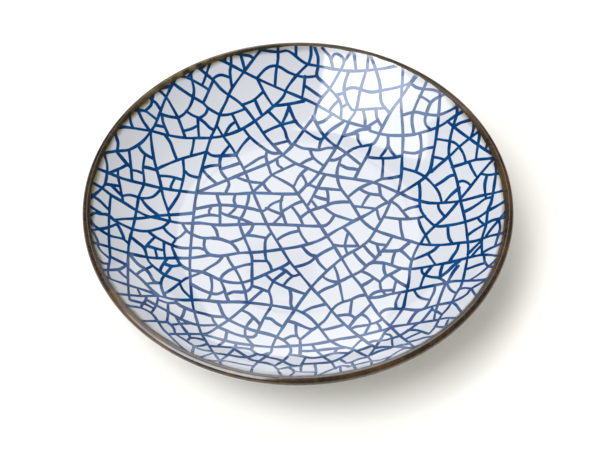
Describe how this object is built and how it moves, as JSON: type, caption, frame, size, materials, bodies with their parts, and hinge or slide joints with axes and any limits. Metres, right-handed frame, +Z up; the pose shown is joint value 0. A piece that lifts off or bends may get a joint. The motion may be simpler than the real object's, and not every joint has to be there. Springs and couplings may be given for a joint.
{
  "type": "porcelain plate",
  "caption": "Small round coupe plate in white porcelain with a coved wall, a rounded iron-brown lip, a turned foot ring and a blue ice-crackle net inside, for serving food.",
  "frame": {"origin": "middle of the foot ring's seat, on the table", "axes": "+Z up along the plate's axis, +X to the right and +Y away from the viewer in the picture"},
  "size_m": [0.156, 0.156, 0.026],
  "materials": {
    "porcelain_biscuit": "matt fired porcelain",
    "clear_glaze": "glossy, faintly blue-white",
    "iron_glaze": "glossy, mottled iron brown to ochre",
    "cobalt_line": "cobalt blue line under glossy glaze"
  },
  "bodies": {
    "root": {"porcelain_body": "porcelain_biscuit", "foot_ring": "porcelain_biscuit", "inside_glaze": "clear_glaze", "outside_glaze": "clear_glaze", "base_glaze": "clear_glaze", "iron_edge": "iron_glaze"}
  },
  "joints": []
}
